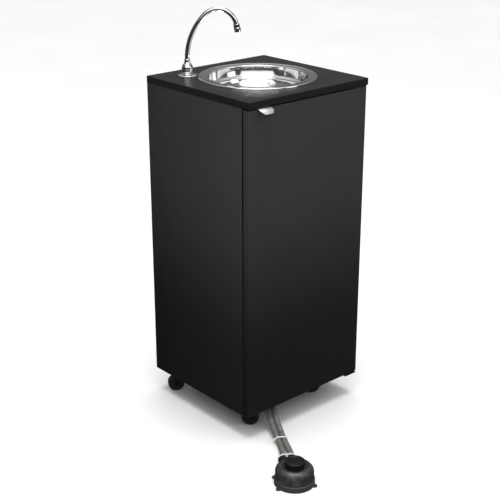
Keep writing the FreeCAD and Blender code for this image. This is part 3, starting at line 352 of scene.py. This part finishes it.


# the panels carry painted shade: their colour drops to 0.34 of itself near the floor
PANEL = laminate("charcoal_panel", (0.028, 0.028, 0.0285), (0.036, 0.036, 0.0365), 0.42, 0.35, painted_low_shade=0.34)
WORKTOP = laminate("charcoal_worktop", (0.010, 0.010, 0.0105), (0.014, 0.014, 0.0145), 0.30, 0.15)
CHROME = metal("chrome", (0.80, 0.79, 0.78), 0.05, stain=0.06, depth=0.000002)
BOWL_STEEL = metal("bowl_steel", (0.86, 0.86, 0.855), 0.10, wave=60, depth=0.00001)
ZINC = metal("zinc_plate", (0.52, 0.52, 0.50), 0.34, stain=0.25)
SCREW = metal("screw_zinc", (0.60, 0.59, 0.56), 0.30)
BRASS = metal("brass", (0.62, 0.46, 0.20), 0.28, stain=0.2)
AXLE = metal("axle_black", (0.05, 0.05, 0.05), 0.35)
PULL = metal("pull_satin", (0.93, 0.925, 0.915), 0.40, grain_scale=(1, 12, 12), depth=0.00003)
RUBBER = rubber("pump_rubber", (0.005, 0.005, 0.005), (0.012, 0.012, 0.012), 0.40, 0.3)
# painted light: the dome's rubber is a lighter copy of the pump rubber, brightened in place of a lamp on
# its front
DOME_RUBBER_PAINTED_LIT = rubber("dome_rubber_painted_lit", (0.020, 0.0195, 0.019), (0.045, 0.044, 0.042), 0.38, 0.5, dust_and_highlight_streaks=0.75)
SEAL = rubber("seal_rubber", (0.004, 0.004, 0.004), (0.010, 0.010, 0.010), 0.7, 0.05)
TYRE = rubber("wheel_rubber", (0.016, 0.016, 0.016), (0.10, 0.095, 0.09), 0.6)
BASE_PLASTIC = plastic("pump_plastic", (0.042, 0.038, 0.034), (0.060, 0.054, 0.048), 0.42)
PLATE = plastic("black_paint", (0.010, 0.010, 0.010), (0.016, 0.016, 0.016), 0.45)
BLACK = plastic("black_plastic", (0.012, 0.012, 0.012), (0.02, 0.02, 0.02), 0.38)
WHITE = plastic("white_plastic", (0.74, 0.74, 0.71), (0.80, 0.80, 0.78), 0.38, soft=0.1)
NYLON = plastic("tie_nylon", (0.80, 0.80, 0.77), (0.86, 0.86, 0.84), 0.35, soft=0.2)
TANK = plastic("tank_natural", (0.72, 0.73, 0.70), (0.80, 0.81, 0.78), 0.35, 0.0002, soft=0.35, coarse=90)
BLUE = plastic("cap_blue", (0.03, 0.10, 0.32), (0.04, 0.13, 0.38), 0.36)
GREY = plastic("cap_grey", (0.07, 0.07, 0.072), (0.10, 0.10, 0.10), 0.4)
LINE = plastic("white_line", (0.68, 0.69, 0.68), (0.76, 0.77, 0.76), 0.25, soft=0.2)
HOSE = smoky_hose("smoky_hose")

SLOT_MATERIALS = {
    "panel_board": PANEL,
    "worktop_board": WORKTOP,
    "screw_steel": SCREW,
    "bowl_steel": BOWL_STEEL,
    "seal_rubber": SEAL,
    "chrome_trim": CHROME,
    "white_plastic": WHITE,
    "tank_plastic": TANK,
    "fresh_cap_blue": BLUE,
    "waste_cap_grey": GREY,
    "clear_hose": HOSE,
    "white_line": LINE,
    "fitting_black": BLACK,
    "zinc_steel": ZINC,
    "plate_black": PLATE,
    "pull_metal": PULL,
    "wheel_rubber": TYRE,
    "pump_rubber": RUBBER,
    "pump_plastic": BASE_PLASTIC,
    "tie_white": NYLON,
    "brass_plain": BRASS,
}


def finish_cad_nodes():
    """Every CAD node gets its slot's material, welded seams and small rounded edges."""
    slots = {s["node"]: s["material_slot"] for s in frame["record"]["subparts"]}
    for name, obj in NODES.items():
        material = AXLE if name.startswith("caster_axle") else SLOT_MATERIALS[slots[name]]
        obj.data.materials.clear()
        obj.data.materials.append(material)
        for polygon in obj.data.polygons:
            polygon.use_smooth = True
        weld = obj.modifiers.new("weld", "WELD")
        weld.merge_threshold = 0.00001
        bevel = obj.modifiers.new("bevel", "BEVEL")
        bevel.width = 0.0003
        bevel.segments = 2
        bevel.limit_method = "ANGLE"
        bevel.angle_limit = SHARP_ANGLE
        bevel.harden_normals = True


# ---------------------------------------------------------------- mesh helpers


def arc(start, through, end, count=10):
    """Points of the circular arc from start (left out) to end, by way of a middle point."""
    (x1, y1), (x2, y2), (x3, y3) = start, through, end
    d = 2 * (x1 * (y2 - y3) + x2 * (y3 - y1) + x3 * (y1 - y2))
    q1, q2, q3 = x1 * x1 + y1 * y1, x2 * x2 + y2 * y2, x3 * x3 + y3 * y3
    cx = (q1 * (y2 - y3) + q2 * (y3 - y1) + q3 * (y1 - y2)) / d
    cy = (q1 * (x3 - x2) + q2 * (x1 - x3) + q3 * (x2 - x1)) / d
    radius = math.hypot(x1 - cx, y1 - cy)
    a1, a2, a3 = (math.atan2(y - cy, x - cx) for x, y in (start, through, end))
    turn = (a3 - a1) % (2 * math.pi)
    if (a2 - a1) % (2 * math.pi) > turn:
        turn -= 2 * math.pi
    return [
        (cx + radius * math.cos(a1 + turn * i / count), cy + radius * math.sin(a1 + turn * i / count))
        for i in range(1, count + 1)
    ]


def outline(*steps):
    """A profile from points and (through, end) arcs."""
    points = [steps[0]]
    for step in steps[1:]:
        if isinstance(step[0], tuple):
            points += arc(points[-1], step[0], step[1])
        else:
            points.append(step)
    return points


def new_object(name, bm, material):
    mesh = bpy.data.meshes.new(name)
    bmesh.ops.recalc_face_normals(bm, faces=bm.faces)
    bm.to_mesh(mesh)
    bm.free()
    mesh.materials.append(material)
    mesh.polygons.foreach_set("use_smooth", [True] * len(mesh.polygons))
    mesh.set_sharp_from_angle(angle=SHARP_ANGLE)
    obj = bpy.data.objects.new(name, mesh)
    bpy.context.scene.collection.objects.link(obj)
    return obj


def lathe(name, centre, profile, material, axis=(0, 0, 1), segments=128):
    """Solid turned about an axis through centre; profile is a loop of (radius, height) in mm."""
    bm = bmesh.new()
    rings = []
    for radius, height in profile:
        if radius < 1e-6:
            rings.append([bm.verts.new((0, 0, height * MM))])
            continue
        rings.append([
            bm.verts.new(Vector((0, 0, height * MM)) + turned(360 * i / segments) * radius * MM)
            for i in range(segments)
        ])
    for one, two in zip(rings, rings[1:] + rings[:1]):
        if len(one) == 1 and len(two) == 1:
            continue
        for i in range(segments):
            j = (i + 1) % segments
            corners = [one[i % len(one)], one[j % len(one)], two[j % len(two)], two[i % len(two)]]
            bm.faces.new(list(dict.fromkeys(corners)))
    turn = Vector((0, 0, 1)).rotation_difference(Vector(axis)).to_matrix().to_4x4()
    bm.transform(Matrix.Translation(centre) @ turn)
    return new_object(name, bm, material)


def sweep(name, path, radius, material, segments):
    """Round rod along closely spaced points."""
    bm = bmesh.new()
    spans = [(b - a).normalized() for a, b in zip(path, path[1:])]
    middles = [(a + b).normalized() for a, b in zip(spans, spans[1:])]
    tangents = [spans[0], *middles, spans[-1]]
    side = tangents[0].orthogonal().normalized()
    rings = []
    for point, tangent in zip(path, tangents):
        side = (side - tangent * side.dot(tangent)).normalized()
        up = tangent.cross(side)
        rings.append([
            bm.verts.new(point + (side * math.cos(a) + up * math.sin(a)) * radius)
            for a in (2 * math.pi * i / segments for i in range(segments))
        ])
    for one, two in zip(rings, rings[1:]):
        for i in range(segments):
            j = (i + 1) % segments
            bm.faces.new((one[i], one[j], two[j], two[i]))
    bm.faces.new(rings[0])
    bm.faces.new(rings[-1])
    return new_object(name, bm, material)


# ---------------------------------------------------------------- hoses from the pump to the cabinet

ELBOW_END = (0.324, 0.009, 0.042, 0.024)
HOSE_ROUTE = [
    (0.076, 0.0, 0.0115, 0.024),
    (0.090, -0.0012, 0.0112, 0.0239),
    (0.104, -0.0032, 0.0102, 0.0226),
    (0.128, -0.0052, 0.0084, 0.0192),
    (0.152, -0.005, 0.0081, 0.0166),
    (0.172, -0.0038, 0.0086, 0.0156),
    (0.196, -0.0022, 0.0109, 0.0154),
    (0.220, -0.0004, 0.0158, 0.0154),
    (0.244, 0.0018, 0.0235, 0.0155),
    (0.270, 0.005, 0.033, 0.0164),
    (0.298, 0.008, 0.0405, 0.0196),
    ELBOW_END,
]
HOSE_R = 0.0075
SIDES = {"left": 1, "right": -1}


def at_pump(along, across, height):
    return PUMP + ALONG * along + ACROSS * across + Vector((0, 0, height))


def make_hose(name, side):
    """One hose of the pair; side is 1 for the pressure hose and -1 for the suction hose."""
    points = [
        at_pump(along, across + side * gap / 2, height)
        for along, across, height, gap in HOSE_ROUTE
    ]
    curve = bpy.data.curves.new(name + "_smoky", "CURVE")
    curve.dimensions = "3D"
    spline = curve.splines.new("NURBS")
    spline.points.add(len(points) - 1)
    for target, point in zip(spline.points, points):
        target.co = (*point, 1.0)
    spline.order_u = 3
    spline.use_endpoint_u = True
    spline.resolution_u = 12
    curve.bevel_depth = HOSE_R
    curve.bevel_resolution = 8
    curve.use_fill_caps = True
    curve.materials.append(HOSE)
    hose = bpy.data.objects.new(name + "_smoky", curve)
    bpy.context.scene.collection.objects.link(hose)
    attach(hose, "cabinet")
    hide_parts(name)


# ---------------------------------------------------------------- bowl and faucet


def make_bowl():
    """Spun bowl with a rolled flange, an inner shoulder and a round dish, as one thin sheet."""
    profile = outline(
        (129.5, 1.6),
        (148.6, 2.4),
        ((151.4, 2.1), (152.4, 0.3)),
        (151.7, 0.1),
        ((150.6, 1.2), (148.6, 1.4)),
        (130.0, 0.6),
        ((128.4, -0.1), (127.7, -1.6)),
        (124.6, -22.4),
        ((122.6, -25.4), (118.0, -26.6)),
        ((115.0, -28.4), (113.6, -33.0)),
        ((85.0, -68.7), (50.0, -90.6)),
        (36.0, -93.6),
        (33.2, -97.0),
        (22.0, -97.0),
        (22.0, -96.0),
        (34.0, -96.0),
        (36.6, -92.5),
        (50.0, -89.6),
        ((84.3, -67.9), (112.6, -33.0)),
        ((114.1, -27.9), (117.8, -25.6)),
        ((121.9, -24.7), (123.6, -22.4)),
        (126.7, -1.6),
        ((127.6, 0.7), (129.5, 1.6)),
    )
    bowl = lathe("sink_bowl_spun", BOWL, profile, BOWL_STEEL, segments=256)
    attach(bowl, "cabinet")
    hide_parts("sink_bowl")


SPOUT_HEADING = -45.0
SPOUT_R = 6.0
SPOUT_RISE = 41.5
LOWER_BEND_R = 160.0
LOWER_TURN = 44.9
UPPER_BEND_R = 46.5
SPOUT_END = 13.0
SPOUT_END_RUN = 9.5
LOWER_STEPS = 24
UPPER_STEPS = 56


def spout_plane(out, height):
    return FAUCET + turned(SPOUT_HEADING) * out * MM + Vector((0, 0, height * MM))


def around(centre, radius, angle):
    return (
        centre[0] + radius * math.cos(math.radians(angle)),
        centre[1] + radius * math.sin(math.radians(angle)),
    )


def spout_points():
    """The pipe's centre line: upright, a long lean towards the bowl, the crook, a straight end."""
    lower = (LOWER_BEND_R, SPOUT_RISE)
    change = around(lower, LOWER_BEND_R, 180 - LOWER_TURN)
    upper = around(change, UPPER_BEND_R, -LOWER_TURN)
    flat = [(0.0, 12.0), (0.0, 30.0), (0.0, 36.0)]
    for i in range(LOWER_STEPS + 1):
        flat.append(around(lower, LOWER_BEND_R, 180 - LOWER_TURN * i / LOWER_STEPS))
    upper_turn = 180 - LOWER_TURN - SPOUT_END
    for i in range(1, UPPER_STEPS + 1):
        flat.append(around(upper, UPPER_BEND_R, 180 - LOWER_TURN - upper_turn * i / UPPER_STEPS))
    flat.append(around(flat[-1], SPOUT_END_RUN, SPOUT_END - 90))
    return [spout_plane(*point) for point in flat]


def make_faucet():
    flange = lathe("faucet_saucer", FAUCET, outline(
        (10.2, 0.1), (24.6, 0.1), ((25.9, 0.7), (25.5, 1.7)), ((20.8, 3.1), (16.6, 3.5)),
        ((14.4, 3.9), (13.6, 4.9)), (10.2, 4.9),
    ), CHROME)
    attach(flange, "cabinet")
    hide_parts("faucet_flange")
    body = lathe("faucet_bulb", FAUCET, outline(
        (6.1, 10.0), (6.1, 31.0), (8.0, 31.0), ((12.4, 26.0), (14.2, 17.0)),
        ((14.6, 14.5), (14.2, 12.0)), (12.8, 5.8), (12.2, 5.0), (10.0, 5.0), (10.0, -45.0),
        (4.0, -45.0), (4.0, 10.0),
    ), CHROME)
    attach(body, "cabinet")
    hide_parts("faucet_body")
    collar = lathe("spout_ferrule", FAUCET, outline(
        (6.02, 31.3), (7.6, 31.3), ((8.1, 32.6), (7.6, 33.9)), (7.2, 34.4),
        ((7.4, 37.0), (7.2, 39.4)), ((6.9, 41.0), (6.3, 41.5)), (6.02, 41.5),
    ), CHROME)
    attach(collar, "spout")
    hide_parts("spout_collar")
    points = spout_points()
    pipe = sweep("spout_bent_tube", points, SPOUT_R * MM, CHROME, 48)
    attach(pipe, "spout")
    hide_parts("spout_pipe")
    down = (points[-1] - points[-2]).normalized()
    nozzle = lathe("aerator_nozzle", points[-1], outline(
        (6.05, -8.0), (7.3, -8.0), ((7.9, -7.7), (8.0, -7.0)), (8.0, 0.6), (8.55, 1.1), (8.55, 5.6),
        (8.0, 6.1), (8.0, 10.6), ((7.8, 11.3), (7.2, 11.5)), (6.3, 11.5), (5.8, 10.9), (5.8, 9.0),
        (0.0, 9.0), (0.0, 8.0), (6.05, 7.4),
    ), CHROME, axis=down, segments=96)
    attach(nozzle, "spout")
    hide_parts("aerator")


# ---------------------------------------------------------------- foot pump


DOME_R = 47.5
DOME_TOP = 44.5
BUTTON_LOW = 44.8
COIL_R = 15.0
COIL_LOW = 5.4
COIL_RISE = 34.7
COIL_TURNS = 5
COIL_STEPS = 240
WIRE_R = 1.2


def make_dome():
    """Rubber dome with a dished top, on a mesh of its own."""
    r = DOME_R
    top = DOME_TOP
    dome = lathe("pump_dome", PUMP, outline(
        (r, 12.0), (r, 16.0), ((r + 0.3, 17.4), (r - 0.1, 18.6)), (r, 30.0),
        ((r - 4.0, top - 1.6), (r - 13.0, top + 3.4)), ((r - 16.4, top + 2.9), (r - 18.5, top)),
        (0.0, top), (0.0, top - 3.0), (r - 17.0, top - 3.0), (r - 14.0, top + 0.5),
        ((r - 6.6, top - 3.7), (r - 3.0, top - 14.5)), (r - 3.0, 12.0),
    ), DOME_RUBBER_PAINTED_LIT)
    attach(dome, "cabinet")
    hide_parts("pump_bellows")
    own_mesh(dome)


def make_button():
    """Button cap with a raised rim, standing on the dome."""
    low = BUTTON_LOW
    button = lathe("pump_button_cap", PUMP, outline(
        (0.0, low), (21.0, low), (21.0, low + 2.6), (24.2, low + 3.2),
        ((24.9, low + 3.8), (25.0, low + 5.0)), (25.0, low + 14.6),
        ((24.4, low + 16.4), (22.6, low + 17.0)), ((21.2, low + 16.8), (20.4, low + 15.9)),
        ((19.5, low + 15.0), (17.8, low + 14.8)), (0.0, low + 14.7),
    ), RUBBER)
    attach(button, "pump_button")
    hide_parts("pump_cap")


def make_spring():
    coil = []
    for i in range(COIL_STEPS + 1):
        part = i / COIL_STEPS
        height = COIL_LOW + COIL_RISE * part
        coil.append(PUMP + turned(360 * COIL_TURNS * part) * COIL_R * MM + Vector((0, 0, height * MM)))
    spring = sweep("pump_spring_coil", coil, WIRE_R * MM, SCREW, 10)
    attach(spring, "cabinet")
    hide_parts("pump_spring")
    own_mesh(spring)


def make_port_boots():
    """Rubber boots over the pump's two hose sockets."""
    for name, side in SIDES.items():
        boot = lathe("port_boot_" + name, at_pump(0.0, side * 0.012, 0.0115), outline(
            (9.0, 47.2), (11.3, 47.2), (11.3, 50.0), ((11.6, 51.5), (11.3, 53.0)), (11.25, 84.0),
            ((11.7, 85.6), (11.4, 88.0)), ((10.6, 89.0), (9.2, 88.6)), (8.9, 87.6), (9.0, 80.0),
        ), RUBBER, axis=ALONG, segments=64)
        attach(boot, "cabinet")


# ---------------------------------------------------------------- hose ends, ties and casters


def make_hose_cuffs():
    """The hoses' far ends, swollen where they are pushed over the elbows' barbs."""
    along, across, height, gap = ELBOW_END
    for name, side in SIDES.items():
        centre = at_pump(along, across + side * gap / 2, height)
        cuff = lathe("hose_cuff_" + name, centre, outline(
            (5.6, -2.0), (7.55, -2.0), ((7.7, 1.5), (8.1, 4.0)), (8.2, 8.0), ((8.2, 11.0), (7.7, 12.0)),
            (5.5, 12.0), (5.5, 1.0),
        ), HOSE, axis=ALONG, segments=48)
        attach(cuff, "cabinet")


def make_wheels():
    """Each caster wheel as a tyre with a tread groove on a ribbed hub."""
    for name, heading in CASTERS.items():
        node = "caster_wheel_" + name
        centre = centre_of(node)
        axis = turned(heading + 90)
        tyre = lathe("caster_tyre_" + name, centre, outline(
            (16.6, -6.8), (17.6, -8.2), (20.6, -8.4), ((22.7, -7.6), (23.3, -5.4)), (23.45, -1.6),
            (22.5, -1.2), (22.5, 1.2), (23.45, 1.6), (23.3, 5.4), ((22.7, 7.6), (20.6, 8.4)),
            (17.6, 8.2), (16.6, 6.8),
        ), TYRE, axis=axis, segments=96)
        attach(tyre, "wheel_" + name)
        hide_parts(node)
        hub = lathe("caster_hub_" + name, centre, outline(
            (3.05, -9.0), (7.0, -9.0), ((7.9, -8.8), (8.0, -8.0)), (8.6, -6.6), (14.6, -6.0),
            (15.2, -7.6), (16.55, -7.6), (16.55, 7.6), (15.2, 7.6), (14.6, 6.0), (8.6, 6.6),
            (8.0, 8.0), ((7.9, 8.8), (7.0, 9.0)), (3.05, 9.0),
        ), BLACK, axis=axis, segments=96)
        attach(hub, "wheel_" + name)


# ---------------------------------------------------------------- tanks


TANK_ROUNDING = 0.018
TANK_CORNER_R = 0.022
RIB_FIRST = 0.045
RIB_PITCH = 0.062
RIB_DEPTH = 0.0022
RIB_STEPS = ((0.0, 0.0), (0.003, RIB_DEPTH), (0.009, RIB_DEPTH), (0.012, 0.0))
GRIP_R = 0.0078
GRIP_FRONT = 0.138
GRIP_BACK = 0.228
GRIP_RISE = 0.027
GRIP_BEND_R = 0.014
QUARTER_TURN = [math.radians(15 * i) for i in range(7)]


def rounded_ring(bm, low, high, inset, corner, z):
    """Loop of vertices round a rectangle with rounded corners, in metres."""
    steps = 6
    points = []
    for sx, sy, start in ((1, 1, 0), (-1, 1, 90), (-1, -1, 180), (1, -1, 270)):
        cx = (high.x if sx > 0 else low.x) - sx * (inset + corner)
        cy = (high.y if sy > 0 else low.y) - sy * (inset + corner)
        for i in range(steps + 1):
            points.append(bm.verts.new(Vector((cx, cy, z)) + turned(start + 90 * i / steps) * corner))
    return points


def make_grip(name, centre_x, front, top):
    """Bent round bar, its feet sunk into the can's top."""
    y0 = front + GRIP_FRONT
    y1 = front + GRIP_BACK
    bend_z = top + GRIP_RISE - GRIP_BEND_R
    path = [Vector((centre_x, y0, top - 0.004)), Vector((centre_x, y0, top + 0.010))]
    for a in QUARTER_TURN:
        bend = Vector((0, -math.cos(a), math.sin(a))) * GRIP_BEND_R
        path.append(Vector((centre_x, y0 + GRIP_BEND_R, bend_z)) + bend)
    for a in QUARTER_TURN:
        bend = Vector((0, math.sin(a), math.cos(a))) * GRIP_BEND_R
        path.append(Vector((centre_x, y1 - GRIP_BEND_R, bend_z)) + bend)
    path += [Vector((centre_x, y1, top + 0.010)), Vector((centre_x, y1, top - 0.004))]
    grip = sweep(name + "_grip", path, GRIP_R, TANK, 24)
    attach(grip, "cabinet")


def make_tank(node, cap, name):
    """Blow-moulded can: rounded shell with pressed ribs, a plain neck and a grip."""
    low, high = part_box(node)
    neck = centre_of(cap)
    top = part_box(cap)[0].z - 0.003
    rounding = [
        (TANK_ROUNDING * (1 - math.cos(a)), TANK_ROUNDING * (1 - math.sin(a)))
        for a in QUARTER_TURN
    ]
    levels = [(low.z + rise, inset) for rise, inset in rounding]
    z = low.z + RIB_FIRST
    while z < top - 0.05:
        levels += [(z + rise, inset) for rise, inset in RIB_STEPS]
        z += RIB_PITCH
    levels += [(top - rise, inset) for rise, inset in reversed(rounding)]
    bm = bmesh.new()
    rings = [
        rounded_ring(bm, low, high, inset * 0.55, TANK_CORNER_R - inset * 0.5, z)
        for z, inset in levels
    ]
    for one, two in zip(rings, rings[1:]):
        for i in range(len(one)):
            j = (i + 1) % len(one)
            bm.faces.new((one[i], one[j], two[j], two[i]))
    bm.faces.new(rings[0])
    bm.faces.new(rings[-1])
    shell = new_object(name, bm, TANK)
    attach(shell, "cabinet")
    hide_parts(node)
    throat = lathe(name + "_neck", Vector((neck.x, neck.y, top)), outline(
        (20.0, -3.0), (24.0, -3.0), ((23.0, 0.6), (22.0, 3.0)), (22.0, 22.0), (20.0, 22.0),
    ), TANK, segments=64)
    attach(throat, "cabinet")
    make_grip(name, (low.x + high.x) / 2, low.y, top)


# ---------------------------------------------------------------- door seal strip, a dark sheet painting the door gap's shade


GAP_STRIP_START = 0.3
GAP_STRIP_END = 9.3
GAP_STRIP_SHOULDER = 1.6
GAP_STRIP_CROWN = 3.4


def make_door_gap_dark_strip():
    """Black D-section rubber down the left side's front edge, where the shut door meets it: a near-black
    strip that paints the shade of the door gap.
    """
    panel_low, panel_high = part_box("side_panel_left")
    front = panel_low.y / MM
    near = panel_low.x / MM + GAP_STRIP_START
    far = panel_low.x / MM + GAP_STRIP_END
    section = outline(
        (near, front - 0.02),
        (near, front - GAP_STRIP_SHOULDER),
        (((near + far) / 2, front - GAP_STRIP_CROWN), (far, front - GAP_STRIP_SHOULDER)),
        (far, front - 0.02),
    )
    bm = bmesh.new()
    ends = [
        [bm.verts.new((x * MM, y * MM, z)) for x, y in section]
        for z in (panel_low.z + 0.005, panel_high.z - 0.003)
    ]
    count = len(section)
    for i in range(count):
        j = (i + 1) % count
        bm.faces.new((ends[0][i], ends[0][j], ends[1][j], ends[1][i]))
    bm.faces.new(ends[0])
    bm.faces.new(ends[1])
    seal = new_object("door_gap_dark_strip_left", bm, SEAL)
    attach(seal, "cabinet")


# ---------------------------------------------------------------- the whole

make_studio()
make_camera()
make_floor()
finish_cad_nodes()
make_hose("pressure_hose", 1)
make_hose("suction_hose", -1)
make_bowl()
make_faucet()
make_dome()
make_button()
make_spring()
make_port_boots()
make_hose_cuffs()
make_wheels()
make_door_gap_dark_strip()
make_tank("fresh_tank", "fresh_cap", "fresh_water_can")
make_tank("waste_tank", "waste_cap", "waste_water_can")
